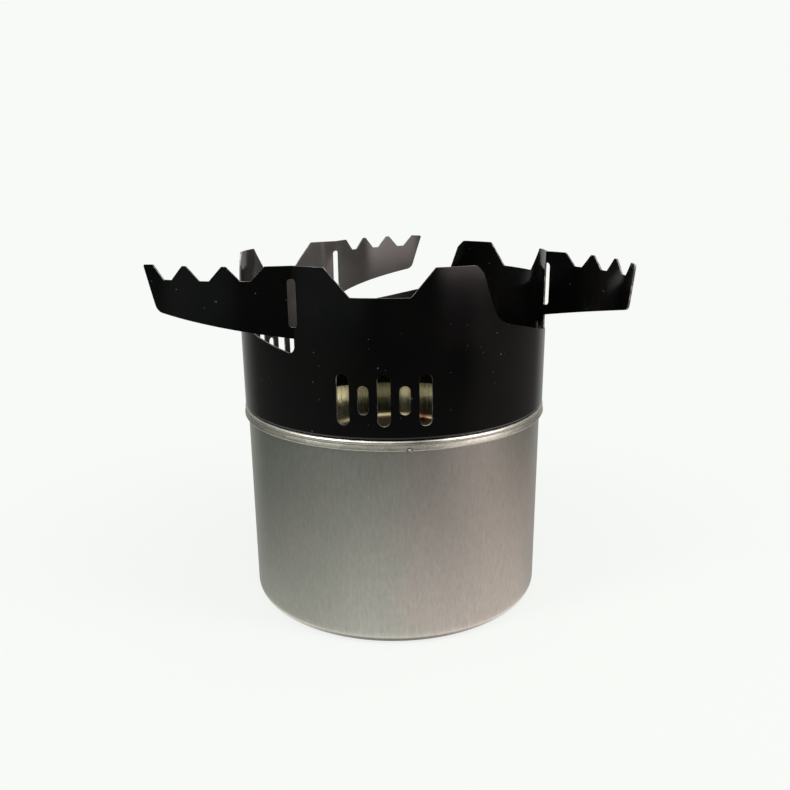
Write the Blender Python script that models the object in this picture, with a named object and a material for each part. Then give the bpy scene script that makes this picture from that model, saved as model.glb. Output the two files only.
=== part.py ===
"""Portable alcohol stove: a steel tin, a brass open-jet burner and a black sheet-metal crown.

The crown stands on the tin's rim. It is a slotted windscreen whose three toothed arms are cut
from its own wall and bent outward to carry a pot. Metres, +Z up; the origin is the centre of
the tin's flat base, and the front of the stove faces -Y.
"""
import math

import bmesh
import bpy
from mathutils import Matrix, Vector

MM = 0.001
TURN_STEPS = 72                      # facets round a turned piece
ROLL_STEPS = 36                      # facets round each third of the crown

# Tin, in millimetres
TIN_R = 47.5                         # outside of the straight wall
TIN_WALL = 0.5
TIN_CORNER_R = 2.8                   # outside fold between base and wall
RIM_TOP = 64.0                       # crest of the rolled rim
RIM_ROLL_R = 0.75
RIM_BAND_TOP = (48.4, 62.7)          # the flattened curl's outer face leans out downward
RIM_BAND_FOOT = (48.7, 61.4)
RIM_FOOT_R = 0.4

# Crown, in millimetres; heights are above its foot, lengths run along the sheet
SHEET = 0.5
REST_GAP = 0.15                      # what touching pieces keep between them
FOOT_Z = RIM_TOP + REST_GAP
CROWN_R = 48.05                      # middle of the sheet
PANEL = CROWN_R * math.tau / 3.0     # length of one third of the wall
TOP = 46.7                           # the plane that the pot stands on
DIP = 39.0                           # floor of the wide dip in each panel
A_END = 10.2                         # end of the tab that the arm is bent from
DIP_START = 17.3
DIP_END = 33.5
B_START = 40.1                       # second tab of the panel
B_END = 52.6
DROP_FOOT = (59.2, 30.9)             # where the drop beside tab B meets the low edge
DROP_FOOT_R = 8.5
LOW_MIDDLE = (80.5, 26.0)
LOW_ROOT_Z = 22.7                    # low edge where it reaches the bend line
ROOT_R = 2.1
NECK_R = 46.35                       # middle of the sheet inside the tin's mouth
NECK_DEPTH = 7.6
LIP_R = 0.55                         # bends of the step between wall and neck
LIP_START = SHEET / 2.0 + LIP_R      # the wall ends and the step begins here

# Vents of one panel: five upright slots, long and short in turn
VENT_CENTRE = 26.1
VENT_PITCH = 5.7
LONG_VENT = (3.6, 4.0, 18.6)         # width, bottom, top
SHORT_VENT = (3.0, 7.2, 15.4)

# Arms: lengths from the bend line, heights above the crown's foot
FIRST_BEND_DEG = 236.1               # bend line of the left arm, counter-clockwise from +X
ARM_OPEN_DEG = {"left": 49.5, "back": 41.5, "right": 53.0}
HINGE_BACK = 0.3                     # the wall stops this far from the bend line
HINGE_FRONT = 0.1                    # and the arm starts this far from it
BEND_SLOT = (2.8, 30.1, 43.2)        # width, bottom and top of the slot along the bend line
VALLEY = 42.8                        # floor between the teeth
FIRST_VALLEY = 12.2
TOOTH_PITCH = 11.4
VALLEY_FLAT = 2.8
TOOTH_FLAT = 1.2
ARM_TIP = (44.0, 46.5)
ARM_TIP_FOOT = (39.8, 33.9)
ARM_ROOT_Z = 26.9

# Burner, in millimetres
BRASS = 0.8
BURNER_Z = TIN_WALL + 0.3            # underside of the burner
BURNER_R = 37.0
CUP_CORNER_R = 2.8
SHOULDER_Z = 34.2
SHOULDER_RISE = 1.8
THREAD_R = 35.4                      # root of the thread on the cup's neck
THREAD_DEPTH = 0.5
THREAD_START = 37.6
THREAD_PITCH = 2.2
THREAD_TURNS = 3
CUP_TOP = 46.0
WELL_R = 25.4                        # middle of the inner wall's sheet
WELL_FOOT = 2.4
FLANGE_TOP = 50.0
FLANGE_BEND_R = 1.5
FLANGE_EDGE = (35.0, 46.9)
JET_COUNT = 24
JET_R = 0.7
JET_AT = (31.2, 48.45)               # middle of the sloping flange
JET_LEAN_DEG = 30.0
CUTTER_DEPTH = 4.0
NOTCH_COUNT = 4
NOTCH_WIDTH = 5.0
NOTCH_HEIGHT = 2.4
WICK = (27.2, 33.2, 2.4, 41.0)       # inner and outer radius, bottom and top


def clear_scene():
    for item in list(bpy.data.objects):
        bpy.data.objects.remove(item, do_unlink=True)


def make_material(name, colour, roughness, metallic):
    material = bpy.data.materials.new(name)
    material.use_nodes = True
    shader = material.node_tree.nodes["Principled BSDF"]
    shader.inputs["Base Color"].default_value = (*colour, 1.0)
    shader.inputs["Roughness"].default_value = roughness
    shader.inputs["Metallic"].default_value = metallic
    return material


def add_object(name, mesh, material):
    item = bpy.data.objects.new(name, mesh)
    bpy.context.scene.collection.objects.link(item)
    if material:
        mesh.materials.append(material)
    return item


def arc(centre, radius, start_deg, end_deg, steps):
    """Points from start to end, ends included, on a circle in the profile plane."""
    points = []
    for i in range(steps + 1):
        angle = math.radians(start_deg + (end_deg - start_deg) * i / steps)
        points.append((centre[0] + radius * math.cos(angle), centre[1] + radius * math.sin(angle)))
    return points


def round_corners(corners, step_deg=30.0):
    """Outline through (x, z, radius) corners, each turned into an arc of its own radius."""
    outline = []
    for i, (x, z, radius) in enumerate(corners):
        if radius <= 0.0:
            outline.append((x, z))
            continue
        corner = Vector((x, z))
        to_last = (Vector(corners[i - 1][:2]) - corner).normalized()
        to_next = (Vector(corners[(i + 1) % len(corners)][:2]) - corner).normalized()
        half = to_last.angle(to_next) / 2.0
        centre = corner + (to_last + to_next).normalized() * radius / math.sin(half)
        first = corner + to_last * radius / math.tan(half) - centre
        last = corner + to_next * radius / math.tan(half) - centre
        start = math.degrees(math.atan2(first.y, first.x))
        sweep = math.remainder(math.degrees(math.atan2(last.y, last.x)) - start, 360.0)
        outline += arc(centre, radius, start, start + sweep, max(2, math.ceil(abs(sweep) / step_deg)))
    return outline


def flat_sheet(outlines, cuts):
    """Filled sheet in the XZ plane: an edge, then holes, creased along upright lines."""
    sheet = bmesh.new()
    for outline in outlines:
        verts = [sheet.verts.new((x, 0.0, z)) for x, z in outline]
        for i, vert in enumerate(verts):
            sheet.edges.new((vert, verts[(i + 1) % len(verts)]))
    bmesh.ops.triangle_fill(sheet, edges=sheet.edges[:], use_beauty=True, normal=(0.0, -1.0, 0.0))
    for cut in cuts:
        parts = sheet.verts[:] + sheet.edges[:] + sheet.faces[:]
        crease = bmesh.ops.bisect_plane(sheet, geom=parts, dist=1e-4, plane_co=(cut, 0.0, 0.0),
                                        plane_no=(1.0, 0.0, 0.0))["geom_cut"]
        for edge in crease:
            if isinstance(edge, bmesh.types.BMEdge):
                edge.seam = True
    bmesh.ops.dissolve_limit(sheet, angle_limit=math.radians(1.0), verts=sheet.verts[:],
                             edges=sheet.edges[:], delimit={"SEAM"})
    return sheet


def smooth(mesh, angle_deg=35.0):
    mesh.shade_smooth()
    mesh.set_sharp_from_angle(angle=math.radians(angle_deg))


def add_thickness(item, thickness_mm):
    solidify = item.modifiers.new("Sheet thickness", "SOLIDIFY")
    solidify.thickness = thickness_mm * MM
    solidify.offset = 0.0
    solidify.use_even_offset = True


def turned(name, profile, material, closed):
    """Turned piece from a profile in millimetres that runs down its outer side."""
    shape = bmesh.new()
    verts = [shape.verts.new((r * MM, 0.0, z * MM)) for r, z in profile]
    for i in range(len(verts) - 1):
        shape.edges.new((verts[i], verts[i + 1]))
    if closed:
        shape.edges.new((verts[-1], verts[0]))
    mesh = bpy.data.meshes.new(name)
    shape.to_mesh(mesh)
    shape.free()
    item = add_object(name, mesh, material)
    screw = item.modifiers.new("Turn", "SCREW")
    screw.axis = "Z"
    screw.steps = TURN_STEPS
    screw.render_steps = TURN_STEPS
    screw.use_merge_vertices = True
    screw.merge_threshold = 1e-5
    screw.use_smooth_shade = True
    return item


def tin_profile():
    inner_r = TIN_R - TIN_WALL
    corner = (TIN_R - TIN_CORNER_R, TIN_CORNER_R)
    roll_centre = (inner_r + RIM_ROLL_R, RIM_TOP - RIM_ROLL_R)
    foot_centre = (RIM_BAND_FOOT[0] - RIM_FOOT_R, RIM_BAND_FOOT[1])
    profile = [(0.0, TIN_WALL)]
    profile += arc(corner, TIN_CORNER_R - TIN_WALL, -90.0, 0.0, 5)
    profile += arc(roll_centre, RIM_ROLL_R, 180.0, 20.0, 7)
    profile += [RIM_BAND_TOP]
    profile += arc(foot_centre, RIM_FOOT_R, 0.0, -90.0, 3)
    profile += [(TIN_R, RIM_BAND_FOOT[1] - RIM_FOOT_R + 0.1)]
    profile += arc(corner, TIN_CORNER_R, 0.0, -90.0, 6)
    profile += [(0.0, 0.0)]
    return profile


def wall_outline():
    """One third of the crown's wall, unrolled, from the end of one tab A to the next."""
    slot_width, slot_bottom, slot_top = BEND_SLOT
    edge = PANEL + HINGE_BACK
    slot_side = PANEL + slot_width / 2.0
    return round_corners([
        (A_END, LIP_START, 0.0),
        (PANEL + A_END, LIP_START, 0.0),
        (PANEL + A_END, TOP, 0.0),
        (edge, TOP, 0.0),
        (edge, slot_top, 0.0),
        (slot_side, slot_top, 1.0),
        (slot_side, slot_bottom, 1.0),
        (edge, slot_bottom, 0.0),
        (edge, LOW_ROOT_Z - 0.4, ROOT_R),
        (*LOW_MIDDLE, 60.0),
        (*DROP_FOOT, DROP_FOOT_R),
        (B_END + 1.6, TOP - 2.2, 3.0),
        (B_END - 0.6, TOP, 1.5),
        (B_START, TOP, 0.6),
        (DIP_END, DIP, 0.8),
        (DIP_START, DIP, 0.8),
        (A_END, TOP, 0.0),
    ])


def vent_outline(centre, vent):
    width, bottom, top = vent
    left = centre - width / 2.0
    right = centre + width / 2.0
    end_r = width / 2.0 - 0.02
    return round_corners([(left, bottom, end_r), (right, bottom, end_r),
                          (right, top, end_r), (left, top, end_r)])


def step_path():
    """Middle of the sheet from the wall's foot, in under the lip and down the neck."""
    shelf_z = SHEET / 2.0
    path = arc((CROWN_R - LIP_R, shelf_z + LIP_R), LIP_R, 0.0, -90.0, 3)
    path += arc((NECK_R + LIP_R, shelf_z - LIP_R), LIP_R, 90.0, 180.0, 3)
    path += [(NECK_R, -NECK_DEPTH)]
    return path[1:]


def build_crown_wall(material):
    vents = []
    for i in range(5):
        kind = LONG_VENT if i % 2 == 0 else SHORT_VENT
        vents.append(vent_outline(VENT_CENTRE + (i - 2) * VENT_PITCH, kind))
    cuts = [A_END + PANEL * i / ROLL_STEPS for i in range(1, ROLL_STEPS)]
    sheet = flat_sheet([wall_outline()] + vents, cuts)
    flat = bpy.data.meshes.new("panel")
    sheet.to_mesh(flat)
    sheet.free()

    wall = bmesh.new()
    for third in range(3):
        panel = bmesh.new()
        panel.from_mesh(flat)
        start = math.radians(FIRST_BEND_DEG + 120.0 * third) - PANEL / CROWN_R
        for vert in panel.verts:
            angle = start + vert.co.x / CROWN_R
            vert.co = (CROWN_R * math.cos(angle), CROWN_R * math.sin(angle), vert.co.z)
        rolled = bpy.data.meshes.new("rolled")
        panel.to_mesh(rolled)
        panel.free()
        wall.from_mesh(rolled)
    bmesh.ops.remove_doubles(wall, verts=wall.verts[:], dist=1e-3)

    def at_foot(edge):
        return edge.is_boundary and all(abs(vert.co.z - LIP_START) < 1e-4 for vert in edge.verts)

    rim = [edge for edge in wall.edges if at_foot(edge)]
    for radius, height in step_path():
        grown = bmesh.ops.extrude_edge_only(wall, edges=rim)["geom"]
        rim = [g for g in grown if isinstance(g, bmesh.types.BMEdge)]
        for vert in {v for e in rim for v in e.verts}:
            scale = radius / math.hypot(vert.co.x, vert.co.y)
            vert.co = (vert.co.x * scale, vert.co.y * scale, height)
    bmesh.ops.recalc_face_normals(wall, faces=wall.faces[:])
    wall.transform(Matrix.Scale(MM, 4) @ Matrix.Translation((0.0, 0.0, FOOT_Z)))
    mesh = bpy.data.meshes.new("crown_wall")
    wall.to_mesh(mesh)
    wall.free()
    smooth(mesh)
    item = add_object("crown_wall", mesh, material)
    add_thickness(item, SHEET)
    return item


def arm_outline():
    """One arm, unrolled: x is the length from the bend line, z the height above the foot."""
    slot_width, slot_bottom, slot_top = BEND_SLOT
    slot_side = slot_width / 2.0
    corners = [
        (HINGE_FRONT, ARM_ROOT_Z, 0.0),
        (HINGE_FRONT, slot_bottom, 0.0),
        (slot_side, slot_bottom, 1.0),
        (slot_side, slot_top, 1.0),
        (HINGE_FRONT, slot_top, 0.0),
        (HINGE_FRONT, TOP, 0.0),
    ]
    slope = (TOOTH_PITCH - VALLEY_FLAT - TOOTH_FLAT) / 2.0
    for i in range(3):
        valley = FIRST_VALLEY + i * TOOTH_PITCH
        corners += [
            (valley - VALLEY_FLAT / 2.0 - slope, TOP, 0.3),
            (valley - VALLEY_FLAT / 2.0, VALLEY, 0.4),
            (valley + VALLEY_FLAT / 2.0, VALLEY, 0.4),
            (valley + VALLEY_FLAT / 2.0 + slope, TOP, 0.3),
        ]
    corners += [
        (*ARM_TIP, 0.5),
        (*ARM_TIP_FOOT, 3.2),
    ]
    return round_corners(corners[::-1])


def build_arm(side, bend_deg, material):
    cuts = [PANEL * i / ROLL_STEPS for i in range(1, ROLL_STEPS // 2)]
    arm = flat_sheet([arm_outline()], cuts)
    bend = math.radians(bend_deg)
    for vert in arm.verts:
        angle = bend - vert.co.x / CROWN_R
        vert.co = (CROWN_R * (math.cos(angle) - math.cos(bend)),
                   CROWN_R * (math.sin(angle) - math.sin(bend)), vert.co.z)
    bmesh.ops.recalc_face_normals(arm, faces=arm.faces[:])
    arm.transform(Matrix.Scale(MM, 4))
    name = "support_arm_" + side
    mesh = bpy.data.meshes.new(name)
    arm.to_mesh(mesh)
    arm.free()
    smooth(mesh)
    item = add_object(name, mesh, material)
    item.location = (CROWN_R * MM * math.cos(bend), CROWN_R * MM * math.sin(bend), FOOT_Z * MM)
    item.rotation_euler.z = math.radians(ARM_OPEN_DEG[side])
    add_thickness(item, SHEET)
    return item


def cup_profile():
    inner_r = BURNER_R - BRASS
    corner = (BURNER_R - CUP_CORNER_R, BURNER_Z + CUP_CORNER_R)
    neck_inner = THREAD_R - BRASS
    neck_z = SHOULDER_Z + SHOULDER_RISE
    profile = [(0.0, BURNER_Z + BRASS)]
    profile += arc(corner, CUP_CORNER_R - BRASS, -90.0, 0.0, 4)
    profile += [(inner_r, SHOULDER_Z - 0.4), (neck_inner, neck_z - 0.4)]
    profile += [(neck_inner, CUP_TOP), (THREAD_R, CUP_TOP)]
    for turn in reversed(range(THREAD_TURNS)):
        ridge = THREAD_START + turn * THREAD_PITCH
        profile += [(THREAD_R, ridge + 0.7), (THREAD_R + THREAD_DEPTH, ridge), (THREAD_R, ridge - 0.7)]
    profile += [(THREAD_R, neck_z), (BURNER_R, SHOULDER_Z)]
    profile += arc(corner, CUP_CORNER_R, 0.0, -90.0, 5)
    profile += [(0.0, BURNER_Z)]
    return profile


def flange_path():
    """Middle of the inner wall's sheet, from its foot up over the flange."""
    path = [(WELL_R, WELL_FOOT)]
    path += arc((WELL_R + FLANGE_BEND_R, FLANGE_TOP - FLANGE_BEND_R), FLANGE_BEND_R, 180.0, 90.0, 4)
    path += [(28.6, FLANGE_TOP), (33.8, FLANGE_EDGE[1]), FLANGE_EDGE]
    return path


def burner_cutter():
    """Jet holes through the flange and fuel notches in the foot of the inner wall."""
    shape = bmesh.new()
    lean = Matrix.Rotation(math.radians(JET_LEAN_DEG), 4, "Y")
    for i in range(JET_COUNT):
        spin = Matrix.Rotation(math.tau * i / JET_COUNT, 4, "Z")
        place = spin @ Matrix.Translation((JET_AT[0], 0.0, JET_AT[1])) @ lean
        bmesh.ops.create_cone(shape, cap_ends=True, segments=8, radius1=JET_R, radius2=JET_R,
                              depth=CUTTER_DEPTH, matrix=place)
    size = Matrix.Diagonal((CUTTER_DEPTH, NOTCH_WIDTH, 2.0 * NOTCH_HEIGHT, 1.0))
    for i in range(NOTCH_COUNT):
        spin = Matrix.Rotation(math.tau * (i + 0.5) / NOTCH_COUNT, 4, "Z")
        place = spin @ Matrix.Translation((WELL_R, 0.0, WELL_FOOT)) @ size
        bmesh.ops.create_cube(shape, size=1.0, matrix=place)
    bmesh.ops.recalc_face_normals(shape, faces=shape.faces[:])
    shape.transform(Matrix.Scale(MM, 4))
    mesh = bpy.data.meshes.new("burner_cutter")
    shape.to_mesh(mesh)
    shape.free()
    cutter = add_object("burner_cutter", mesh, None)
    cutter.hide_render = True
    cutter.display_type = "WIRE"
    return cutter


def build_burner(brass, fibre):
    turned("burner_cup", cup_profile(), brass, closed=False)
    well = turned("burner_inner_wall", flange_path(), brass, closed=False)
    add_thickness(well, BRASS)
    holes = well.modifiers.new("Jets and notches", "BOOLEAN")
    holes.operation = "DIFFERENCE"
    holes.solver = "EXACT"
    holes.object = burner_cutter()
    inner, outer, bottom, top = WICK
    edge = 0.6
    ring = [(inner, bottom), (inner, top - edge), (inner + edge, top)]
    ring += [(outer - edge, top), (outer, top - edge), (outer, bottom)]
    turned("burner_wick", ring, fibre, closed=True)


def main():
    clear_scene()
    steel = make_material("tin_steel", (0.42, 0.41, 0.39), 0.38, 1.0)
    black = make_material("black_coated_sheet", (0.012, 0.011, 0.011), 0.42, 0.6)
    brass = make_material("brass", (0.72, 0.50, 0.20), 0.30, 1.0)
    fibre = make_material("wick_fibre", (0.78, 0.75, 0.66), 0.95, 0.0)
    turned("tin_body", tin_profile(), steel, closed=False)
    build_crown_wall(black)
    for third, side in enumerate(("left", "right", "back")):
        build_arm(side, FIRST_BEND_DEG + 120.0 * third, black)
    build_burner(brass, fibre)


main()
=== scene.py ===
"""Looks of the portable alcohol stove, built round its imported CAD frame.

Lengths are in millimetres until a mesh is finished, and heights on the crown are above its foot.
"""

import math

import bmesh
import bpy
import numpy as np
from mathutils import Matrix, Vector, noise

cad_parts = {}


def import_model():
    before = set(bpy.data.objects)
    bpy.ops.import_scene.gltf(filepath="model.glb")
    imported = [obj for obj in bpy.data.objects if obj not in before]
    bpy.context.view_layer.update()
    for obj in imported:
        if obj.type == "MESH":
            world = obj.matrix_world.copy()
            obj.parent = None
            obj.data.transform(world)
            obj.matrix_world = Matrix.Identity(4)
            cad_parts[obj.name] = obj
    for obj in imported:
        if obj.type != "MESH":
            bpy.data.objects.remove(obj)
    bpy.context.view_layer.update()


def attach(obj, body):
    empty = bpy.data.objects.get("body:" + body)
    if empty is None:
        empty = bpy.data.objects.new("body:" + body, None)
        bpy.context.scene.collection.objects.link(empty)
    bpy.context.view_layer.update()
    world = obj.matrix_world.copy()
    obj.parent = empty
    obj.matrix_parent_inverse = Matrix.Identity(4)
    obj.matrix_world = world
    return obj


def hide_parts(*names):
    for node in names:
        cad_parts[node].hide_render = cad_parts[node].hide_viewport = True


MM = 0.001

# Tin; points are (radius, height)
TIN_R = 47.5
TIN_WALL = 0.5
TIN_CORNER_R = 2.8
TIN_FLOOR_RING_R = 20.0
TIN_BODY_ROWS = 40
RIM_TOP = 64.0
RIM_ROLL_R = 0.75
RIM_BAND_TOP = (48.4, 62.7)
RIM_BAND_FOOT = (48.7, 61.4)
RIM_FOOT_R = 0.4
RIM_BAND_SWELL = 0.03
RIM_BAND_ROWS = 8
RIM_TUCK_Z = RIM_BAND_FOOT[1] - RIM_FOOT_R
RIM_SEAM_DEPTH = 0.0125              # groove between the roll and the band
RIM_SEAM_RISES = (0.22, 0.12)        # of its two edges, above the band
RIM_RIPPLE = (0.05, 9.0, 0.12)       # depth, and how fast it changes round the rim and up it
RIM_RIPPLE_FROM_Z = 58.0
RIM_CLEAR = 0.05                     # the nick leaves the rim this far outside the tin's side
TIN_STEPS = 512
NICK_DEG = -84.6                     # small nick in the lower edge of the rim
NICK_SIZE = (0.55, 0.5, 0.35)        # half width, height and depth

# Crown
SHEET = 0.5
FOOT_Z = RIM_TOP + 0.15
CROWN_R = 48.05
PANEL = CROWN_R * math.tau / 3.0
PANEL_STEPS = 120
TOP = 46.7
DIP = 39.0
# Along a panel from the last bend line: end of tab A, dip, tab B, foot of its slope, and the cut-out
# that the arm comes from, down to its root
A_END = 10.2
DIP_START = 17.3
DIP_END = 33.5
B_START = 40.1
B_END = 52.6
DROP_FOOT = (59.2, 30.9)
DROP_FOOT_R = 8.5
LOW_MIDDLE = (80.5, 26.0)
LOW_ROOT_Z = 22.7
ROOT_R = 2.1
NECK_R = 46.35
NECK_DEPTH = 7.6
LIP_R = 0.55
LIP_START = SHEET / 2.0 + LIP_R
VENT_CENTRE = 26.1
VENT_COUNT = 5
VENT_PITCH = 5.7
LONG_VENT = (3.6, 4.0, 18.6)         # width, bottom, top; as for the slot on a bend line
SHORT_VENT = (3.0, 7.2, 15.4)
BEND_SLOT = (2.8, 30.1, 43.2)
CUT_EDGE_R = 0.1                     # rounding of the sheet's cut edges
BROAD_SIDE_FACING = 0.998            # cosine that tells a broad side of the sheet from its cut edges

# Arms; points are (length from the bend line, height)
FIRST_BEND_DEG = 236.1
ARM_OPEN_DEG = {"left": 49.5, "back": 41.5, "right": 53.0}
VALLEY = 42.8
FIRST_VALLEY = 12.2
TOOTH_COUNT = 3
TOOTH_PITCH = 11.4
VALLEY_FLAT = 2.8
TOOTH_FLAT = 1.2
ARM_TIP = (44.0, 46.5)
ARM_TIP_FOOT = (39.8, 33.9)
ARM_ROOT_Z = 26.9

# Burner; points are (radius, height)
BRASS = 0.8
BURNER_Z = 0.8
BURNER_R = 37.0
BURNER_FLOOR_RING_R = 18.0
CUP_CORNER_R = 2.8
SHOULDER_Z = 34.2
SHOULDER_RISE = 1.8
SHOULDER_R = 1.2
THREAD_R = 35.4
THREAD_DEPTH = 0.5
THREAD_HALF = 0.75                   # half the width of a ridge at its foot
THREAD_FLANK = (0.85, 0.22)          # where a crest rounds off: share of its depth, half width
THREAD_START = 37.6
THREAD_PITCH = 2.2
THREAD_TURNS = 3
CUP_TOP = 46.0
CUP_CHAMFER = 0.15
WELL_R = 25.4
WELL_FOOT = 2.4
FLANGE_TOP = 50.0
FLANGE_BEND_R = 1.5
FLANGE_FALL = (28.2, 34.0)           # radii where its slope starts and ends
FLANGE_EDGE = (35.0, 46.9)
JET_COUNT = 24
JET_R = 0.7
JET_AT = (31.2, 48.45)
JET_LEAN_DEG = 30.0
CUTTER_DEPTH = 4.0
NOTCH_COUNT = 4
NOTCH_WIDTH = 5.0
NOTCH_HEIGHT = 2.4
WICK = (27.2, 33.2, 2.4, 41.0)       # inner and outer radius, foot, top
WICK_ROUND = 6.0                     # height of its rounded part, and of its tufted part
WICK_TUFTED = 8.0
BURNER_STEPS = 192


# ---------------------------------------------------------------- shapes

def arc(centre, radius, start_deg, end_deg, steps):
    """Points of an arc, its ends among them."""
    points = []
    for i in range(steps + 1):
        angle = math.radians(start_deg + (end_deg - start_deg) * i / steps)
        points.append((centre[0] + radius * math.cos(angle), centre[1] + radius * math.sin(angle)))
    return points


def round_corners(corners, step_deg=8.0):
    """Outline through (x, z, radius) corners, each turned into an arc of its own radius."""
    outline = []
    for i, (x, z, radius) in enumerate(corners):
        if radius <= 0.0:
            outline.append((x, z))
            continue
        corner = Vector((x, z))
        to_last = (Vector(corners[i - 1][:2]) - corner).normalized()
        to_next = (Vector(corners[(i + 1) % len(corners)][:2]) - corner).normalized()
        half = to_last.angle(to_next) / 2.0
        centre = corner + (to_last + to_next).normalized() * radius / math.sin(half)
        first = corner + to_last * radius / math.tan(half) - centre
        last = corner + to_next * radius / math.tan(half) - centre
        start = math.degrees(math.atan2(first.y, first.x))
        sweep = math.remainder(math.degrees(math.atan2(last.y, last.x)) - start, 360.0)
        outline += arc(centre, radius, start, start + sweep, max(2, math.ceil(abs(sweep) / step_deg)))
    return outline


def add_object(name, mesh, materials):
    item = bpy.data.objects.new(name, mesh)
    bpy.context.scene.collection.objects.link(item)
    for material in materials:
        mesh.materials.append(material)
    return item


def bake_modifiers(item):
    """Replace the object's mesh by what its modifiers make of it."""
    bpy.context.view_layer.update()
    shown = item.evaluated_get(bpy.context.evaluated_depsgraph_get())
    mesh = bpy.data.meshes.new_from_object(shown)
    old = item.data
    item.modifiers.clear()
    item.data = mesh
    bpy.data.meshes.remove(old)
    mesh.name = item.name
    return mesh


def smooth(mesh, angle_deg=35.0):
    mesh.shade_smooth()
    mesh.set_sharp_from_angle(angle=math.radians(angle_deg))


def lathe(name, profile, steps, materials, closed=False, slot_of=None, shape_of=None):
    """Turned piece from a profile that runs down its outer side; its ends may lie on the axis."""
    shape = bmesh.new()
    rings = []
    for r, z in profile:
        if r < 1e-6:
            rings.append([shape.verts.new((0.0, 0.0, z))] * steps)
            continue
        ring = []
        for i in range(steps):
            angle = math.tau * i / steps
            radius, height = shape_of(r, z, angle) if shape_of else (r, z)
            ring.append(shape.verts.new((radius * math.cos(angle), radius * math.sin(angle), height)))
        rings.append(ring)
    pairs = list(zip(rings[:-1], rings[1:])) + ([(rings[-1], rings[0])] if closed else [])
    for row, (upper, lower) in enumerate(pairs):
        for i in range(steps):
            j = (i + 1) % steps
            corners = []
            for vert in (upper[i], lower[i], lower[j], upper[j]):
                if vert not in corners:
                    corners.append(vert)
            face = shape.faces.new(corners)
            face.material_index = slot_of(row) if slot_of else 0
    bmesh.ops.recalc_face_normals(shape, faces=shape.faces[:])
    bmesh.ops.transform(shape, matrix=Matrix.Scale(MM, 4), verts=shape.verts[:])
    mesh = bpy.data.meshes.new(name)
    shape.to_mesh(mesh)
    shape.free()
    smooth(mesh)
    return add_object(name, mesh, materials)


def flat_sheet(outlines, cuts):
    """Filled sheet in the XZ plane within its first outline, less the others, cut at upright lines."""
    sheet = bmesh.new()
    for outline in outlines:
        verts = [sheet.verts.new((x, 0.0, z)) for x, z in outline]
        for i, vert in enumerate(verts):
            sheet.edges.new((vert, verts[(i + 1) % len(verts)]))
    bmesh.ops.triangle_fill(sheet, edges=sheet.edges[:], use_beauty=True, normal=(0.0, -1.0, 0.0))
    for cut in cuts:
        parts = sheet.verts[:] + sheet.edges[:] + sheet.faces[:]
        crease = bmesh.ops.bisect_plane(sheet, geom=parts, dist=1e-4, plane_co=(cut, 0.0, 0.0),
                                        plane_no=(1.0, 0.0, 0.0))["geom_cut"]
        for edge in crease:
            if isinstance(edge, bmesh.types.BMEdge):
                edge.seam = True
    bmesh.ops.dissolve_limit(sheet, angle_limit=math.radians(0.5), verts=sheet.verts[:],
                             edges=sheet.edges[:], delimit={"SEAM"})
    return sheet


def radial_normals(mesh, axis):
    """Give the sheet's two broad sides the exact normals of the cylinder round axis (x, y), in metres."""
    normals = np.array([corner.vector for corner in mesh.corner_normals], float)
    for face in mesh.polygons:
        out = Vector((face.center.x - axis[0], face.center.y - axis[1], 0.0)).normalized()
        facing = face.normal.dot(out)
        if abs(facing) < BROAD_SIDE_FACING:
            continue
        for loop in face.loop_indices:
            place = mesh.vertices[mesh.loops[loop].vertex_index].co
            normal = Vector((place.x - axis[0], place.y - axis[1], 0.0)).normalized()
            normals[loop] = normal * math.copysign(1.0, facing)
    mesh.normals_split_custom_set(normals.tolist())


def thicken(item, axis):
    """Turn a sheet's middle surface into sheet metal with slightly rounded cut edges."""
    solidify = item.modifiers.new("Sheet thickness", "SOLIDIFY")
    solidify.thickness = SHEET * MM
    solidify.offset = 0.0
    solidify.use_even_offset = True
    solidify.material_offset_rim = 1
    bevel = item.modifiers.new("Cut edges", "BEVEL")
    bevel.width = CUT_EDGE_R * MM
    bevel.segments = 2
    bevel.limit_method = "ANGLE"
    bevel.angle_limit = math.radians(60.0)
    bevel.material = 1
    mesh = bake_modifiers(item)
    smooth(mesh, 50.0)
    radial_normals(mesh, axis)


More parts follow.
